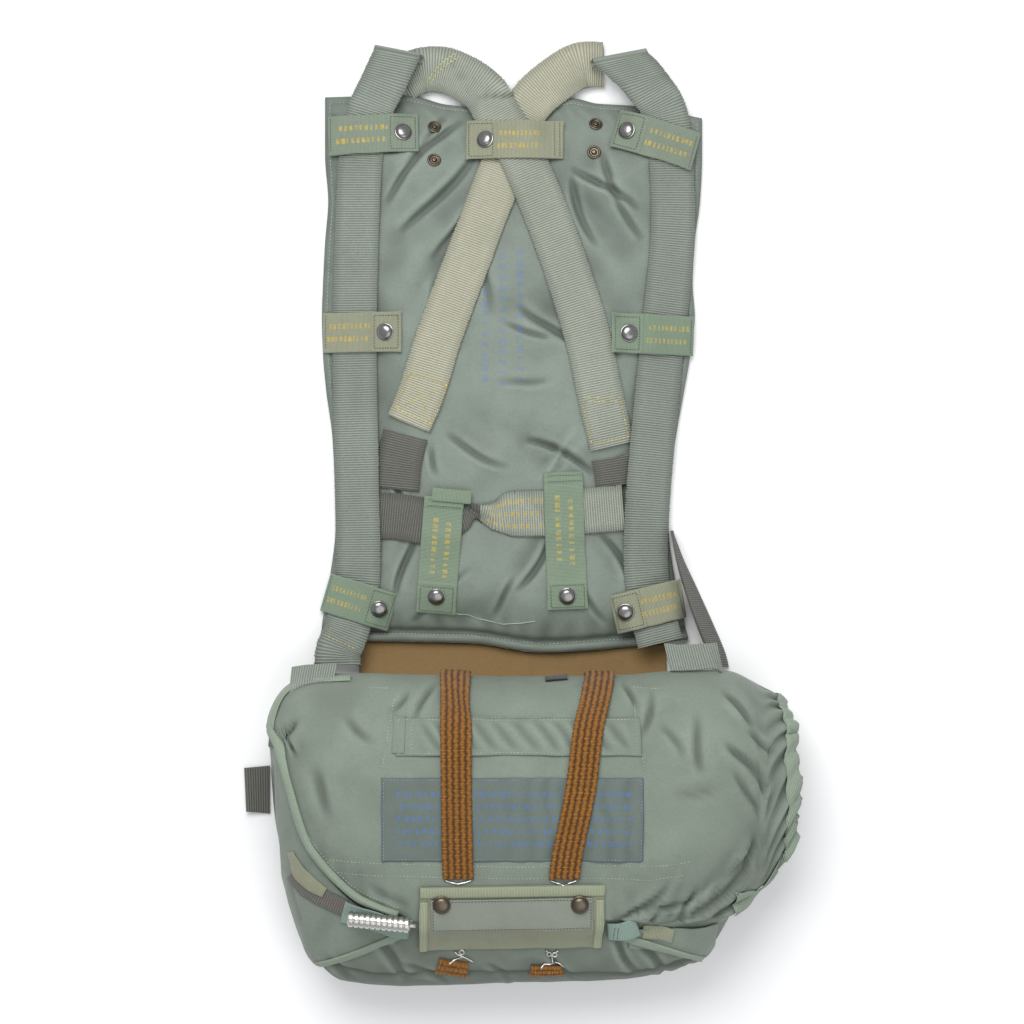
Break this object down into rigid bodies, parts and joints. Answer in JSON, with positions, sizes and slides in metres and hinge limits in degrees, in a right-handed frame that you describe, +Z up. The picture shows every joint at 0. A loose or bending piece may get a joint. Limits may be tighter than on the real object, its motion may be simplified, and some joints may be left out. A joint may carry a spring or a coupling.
{
  "type": "packed parachute",
  "caption": "Packed parachute lying on its back: padded back pad with crossed harness webbing and snap tabs, and a soft packed container with opening bands and a pin cover.",
  "frame": {"origin": "middle of the part's outline on the floor it lies on", "axes": "+X to the part's right as seen from above, +Y from the container up to the shoulder webs, +Z up from the floor"},
  "size_m": [0.528, 0.895, 0.166],
  "materials": {
    "pad_nylon": "quilted plain-weave nylon with a soft sheen",
    "pack_nylon": "worn plain-weave nylon duck, slightly rubbed",
    "tan_canvas": "matt cotton canvas",
    "webbing": "ribbed nylon webbing, grey-green",
    "webbing_pale": "ribbed nylon webbing, faded beige-green",
    "webbing_dark": "ribbed nylon webbing, dark grey-brown",
    "tape_green": "woven tape, sage green",
    "tape_olive": "woven tape, faded olive",
    "binding": "folded binding tape, pale green",
    "blue_cloth": "woven cloth, blue-green",
    "elastic": "shirred brown elastic with sewn channels",
    "steel": "bright plated steel",
    "snap_steel": "dark plated snap caps, polished by wear",
    "brass": "dull brown brass"
  },
  "bodies": {
    "root": {"back_band": "webbing_dark", "back_pad": "pad_nylon", "binding_left": "binding", "binding_low_left": "binding", "binding_low_right": "binding", "binding_right": "binding", "cable_housing": "steel", "corner_web": "webbing", "cross_web_left": "webbing", "cross_web_right": "webbing_pale", "data_patch": "pack_nylon", "end_strap": "blue_cloth", "hip_loop_right": "webbing", "hip_web_right": "webbing_dark", "hook_left": "steel", "hook_low_left": "steel", "hook_low_right": "steel", "hook_right": "steel", "housing_base": "blue_cloth", "join_web_left": "webbing_dark", "join_web_right": "webbing_dark", "lift_web_left": "webbing", "lift_web_right": "webbing", "low_band_left": "elastic", "low_band_right": "elastic", "opening_band_left": "elastic", "opening_band_right": "elastic", "pack_body": "pack_nylon", "pack_flap": "pack_nylon", "pin_cover": "pack_nylon", "pin_cover_strip": "pack_nylon", "pocket_strip": "pack_nylon", "side_flap_left": "pack_nylon", "side_flap_right": "pack_nylon", "snap_cover_left": "brass", "snap_cover_right": "brass", "snap_low_left": "snap_steel", "snap_low_right": "snap_steel", "snap_mid_left": "snap_steel", "snap_mid_right": "snap_steel", "snap_pair_left": "snap_steel", "snap_pair_right": "snap_steel", "snap_top": "snap_steel", "snap_upper_left": "snap_steel", "snap_upper_right": "snap_steel", "stud_1": "brass", "stud_2": "brass", "stud_3": "brass", "stud_4": "brass", "tab_low_left": "tape_green", "tab_low_right": "tape_olive", "tab_mid_left": "tape_olive", "tab_mid_right": "tape_green", "tab_pair_left": "tape_green", "tab_pair_right": "tape_green", "tab_top": "tape_olive", "tab_upper_left": "tape_green", "tab_upper_right": "tape_olive", "tan_panel": "tan_canvas", "web_tail": "webbing_dark"}
  },
  "joints": []
}
